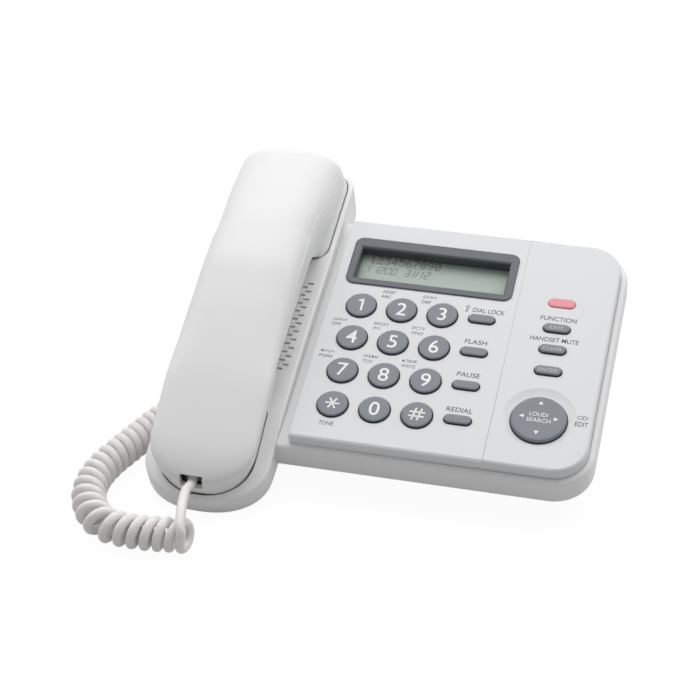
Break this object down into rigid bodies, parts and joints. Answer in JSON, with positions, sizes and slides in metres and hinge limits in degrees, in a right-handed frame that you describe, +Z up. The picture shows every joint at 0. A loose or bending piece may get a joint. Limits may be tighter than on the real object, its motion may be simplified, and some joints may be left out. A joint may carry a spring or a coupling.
{
  "type": "corded telephone",
  "caption": "Desk telephone with a tilted base, dial pad, display, side keys and a handset resting in a cradle, joined by a curly cord.",
  "frame": {"origin": "centre of the telephone's footprint without its cord, on the desk", "axes": "+X towards the user's right, +Y away from the user, +Z up"},
  "size_m": [0.2232, 0.2209, 0.0961],
  "materials": {
    "white_abs": "satin gloss moulded ABS",
    "key_plastic": "satin blue-grey",
    "bezel_plastic": "semi-gloss blue-grey",
    "lens_acrylic": "clear polished",
    "lcd_glass": "satin grey-green",
    "pad_rubber": "matte silicone",
    "board_laminate": "green solder mask",
    "black_epoxy": "matte",
    "capacitor_sleeve": "glossy",
    "screw_steel": "zinc plated",
    "speaker_steel": "satin black",
    "speaker_cone": "matte paper",
    "lamp_plastic": "translucent pink",
    "led_epoxy": "clear red",
    "jack_plastic": "moulded nylon",
    "contact_metal": "nickel plated",
    "cell_jacket": "glossy sleeve",
    "foot_rubber": "matte",
    "pivot_steel": "plain",
    "capsule_metal": "satin",
    "weight_iron": "bare",
    "plug_plastic": "clear polycarbonate",
    "cord_pvc": "satin soft PVC"
  },
  "bodies": {
    "base": {"base_bottom": "white_abs", "base_top": "white_abs", "dial_face_plate": "white_abs", "side_face_plate": "white_abs", "display_bezel": "bezel_plastic", "display_lens": "lens_acrylic", "lcd_panel": "lcd_glass", "keypad_mat": "pad_rubber", "main_board": "board_laminate", "board_chips": "black_epoxy", "board_capacitors": "capacitor_sleeve", "board_screws": "screw_steel", "ringer_basket": "speaker_steel", "ringer_cone": "speaker_cone", "ring_lamp": "lamp_plastic", "ring_led": "led_epoxy", "hook_switch_body": "jack_plastic", "hook_spring": "screw_steel", "base_handset_jack": "jack_plastic", "line_jack": "jack_plastic", "battery_contacts": "contact_metal", "batteries": "cell_jacket", "rubber_feet": "foot_rubber", "base_screws": "screw_steel", "plug_base": "plug_plastic", "cord_tail_base": "cord_pvc", "cord_coil": "cord_pvc"},
    "handset": {"handset_back": "white_abs", "handset_front": "white_abs", "receiver_capsule": "capsule_metal", "microphone": "capsule_metal", "handset_jack": "jack_plastic", "handset_weight": "weight_iron", "handset_screws": "screw_steel", "plug_handset": "plug_plastic", "cord_tail_handset": "cord_pvc"},
    "hook_plunger": {"hook_plunger": "white_abs"},
    "battery_door": {"battery_door": "white_abs"},
    "nav_pivot": {"nav_pivot": "pivot_steel"},
    "nav_pad": {"nav_pad": "key_plastic"},
    "key_1": {"key_1": "key_plastic"},
    "key_2": {"key_2": "key_plastic"},
    "key_3": {"key_3": "key_plastic"},
    "key_4": {"key_4": "key_plastic"},
    "key_5": {"key_5": "key_plastic"},
    "key_6": {"key_6": "key_plastic"},
    "key_7": {"key_7": "key_plastic"},
    "key_8": {"key_8": "key_plastic"},
    "key_9": {"key_9": "key_plastic"},
    "key_star": {"key_star": "key_plastic"},
    "key_0": {"key_0": "key_plastic"},
    "key_hash": {"key_hash": "key_plastic"},
    "key_lock": {"key_lock": "key_plastic"},
    "key_flash": {"key_flash": "key_plastic"},
    "key_pause": {"key_pause": "key_plastic"},
    "key_redial": {"key_redial": "key_plastic"},
    "key_function": {"key_function": "key_plastic"},
    "key_mute": {"key_mute": "key_plastic"},
    "key_enter": {"key_enter": "key_plastic"}
  },
  "joints": [
    {"name": "handset_lift", "type": "slide", "parent": "base", "child": "handset", "axis": [0, -0.3173, 0.9483], "range_m": [0, 0.08]},
    {"name": "hook_travel", "type": "slide", "parent": "base", "child": "hook_plunger", "axis": [0, -0.3173, 0.9483], "range_m": [0, 0.004]},
    {"name": "door_slide", "type": "slide", "parent": "base", "child": "battery_door", "axis": [0, 1, 0], "range_m": [0, 0.058]},
    {"name": "nav_updown", "type": "hinge", "parent": "base", "child": "nav_pivot", "pos_m": [0.071, -0.03813, 0.0319], "axis": [1, 0, 0], "range_deg": [-2.7, 2.7], "stiffness_Nm_per_rad": 0.05},
    {"name": "nav_leftright", "type": "hinge", "parent": "nav_pivot", "child": "nav_pad", "pos_m": [0.071, -0.03813, 0.0319], "axis": [0, 0.9483, 0.3173], "range_deg": [-2.7, 2.7], "stiffness_Nm_per_rad": 0.05},
    {"name": "key_1_press", "type": "slide", "parent": "base", "child": "key_1", "axis": [0, 0.3173, -0.9483], "range_m": [0, 0.0015], "stiffness_N_per_m": 500, "springref_m": -0.0004},
    {"name": "key_2_press", "type": "slide", "parent": "base", "child": "key_2", "axis": [0, 0.3173, -0.9483], "range_m": [0, 0.0015], "stiffness_N_per_m": 500, "springref_m": -0.0004},
    {"name": "key_3_press", "type": "slide", "parent": "base", "child": "key_3", "axis": [0, 0.3173, -0.9483], "range_m": [0, 0.0015], "stiffness_N_per_m": 500, "springref_m": -0.0004},
    {"name": "key_4_press", "type": "slide", "parent": "base", "child": "key_4", "axis": [0, 0.3173, -0.9483], "range_m": [0, 0.0015], "stiffness_N_per_m": 500, "springref_m": -0.0004},
    {"name": "key_5_press", "type": "slide", "parent": "base", "child": "key_5", "axis": [0, 0.3173, -0.9483], "range_m": [0, 0.0015], "stiffness_N_per_m": 500, "springref_m": -0.0004},
    {"name": "key_6_press", "type": "slide", "parent": "base", "child": "key_6", "axis": [0, 0.3173, -0.9483], "range_m": [0, 0.0015], "stiffness_N_per_m": 500, "springref_m": -0.0004},
    {"name": "key_7_press", "type": "slide", "parent": "base", "child": "key_7", "axis": [0, 0.3173, -0.9483], "range_m": [0, 0.0015], "stiffness_N_per_m": 500, "springref_m": -0.0004},
    {"name": "key_8_press", "type": "slide", "parent": "base", "child": "key_8", "axis": [0, 0.3173, -0.9483], "range_m": [0, 0.0015], "stiffness_N_per_m": 500, "springref_m": -0.0004},
    {"name": "key_9_press", "type": "slide", "parent": "base", "child": "key_9", "axis": [0, 0.3173, -0.9483], "range_m": [0, 0.0015], "stiffness_N_per_m": 500, "springref_m": -0.0004},
    {"name": "key_star_press", "type": "slide", "parent": "base", "child": "key_star", "axis": [0, 0.3173, -0.9483], "range_m": [0, 0.0015], "stiffness_N_per_m": 500, "springref_m": -0.0004},
    {"name": "key_0_press", "type": "slide", "parent": "base", "child": "key_0", "axis": [0, 0.3173, -0.9483], "range_m": [0, 0.0015], "stiffness_N_per_m": 500, "springref_m": -0.0004},
    {"name": "key_hash_press", "type": "slide", "parent": "base", "child": "key_hash", "axis": [0, 0.3173, -0.9483], "range_m": [0, 0.0015], "stiffness_N_per_m": 500, "springref_m": -0.0004},
    {"name": "key_lock_press", "type": "slide", "parent": "base", "child": "key_lock", "axis": [0, 0.3173, -0.9483], "range_m": [0, 0.0015], "stiffness_N_per_m": 500, "springref_m": -0.0004},
    {"name": "key_flash_press", "type": "slide", "parent": "base", "child": "key_flash", "axis": [0, 0.3173, -0.9483], "range_m": [0, 0.0015], "stiffness_N_per_m": 500, "springref_m": -0.0004},
    {"name": "key_pause_press", "type": "slide", "parent": "base", "child": "key_pause", "axis": [0, 0.3173, -0.9483], "range_m": [0, 0.0015], "stiffness_N_per_m": 500, "springref_m": -0.0004},
    {"name": "key_redial_press", "type": "slide", "parent": "base", "child": "key_redial", "axis": [0, 0.3173, -0.9483], "range_m": [0, 0.0015], "stiffness_N_per_m": 500, "springref_m": -0.0004},
    {"name": "key_function_press", "type": "slide", "parent": "base", "child": "key_function", "axis": [0, 0.3173, -0.9483], "range_m": [0, 0.0015], "stiffness_N_per_m": 500, "springref_m": -0.0004},
    {"name": "key_mute_press", "type": "slide", "parent": "base", "child": "key_mute", "axis": [0, 0.3173, -0.9483], "range_m": [0, 0.0015], "stiffness_N_per_m": 500, "springref_m": -0.0004},
    {"name": "key_enter_press", "type": "slide", "parent": "base", "child": "key_enter", "axis": [0, 0.3173, -0.9483], "range_m": [0, 0.0015], "stiffness_N_per_m": 500, "springref_m": -0.0004}
  ],
  "couplings": [
    {"joint": "hook_travel", "follows": "handset_lift", "ratio": 0.05}
  ]
}
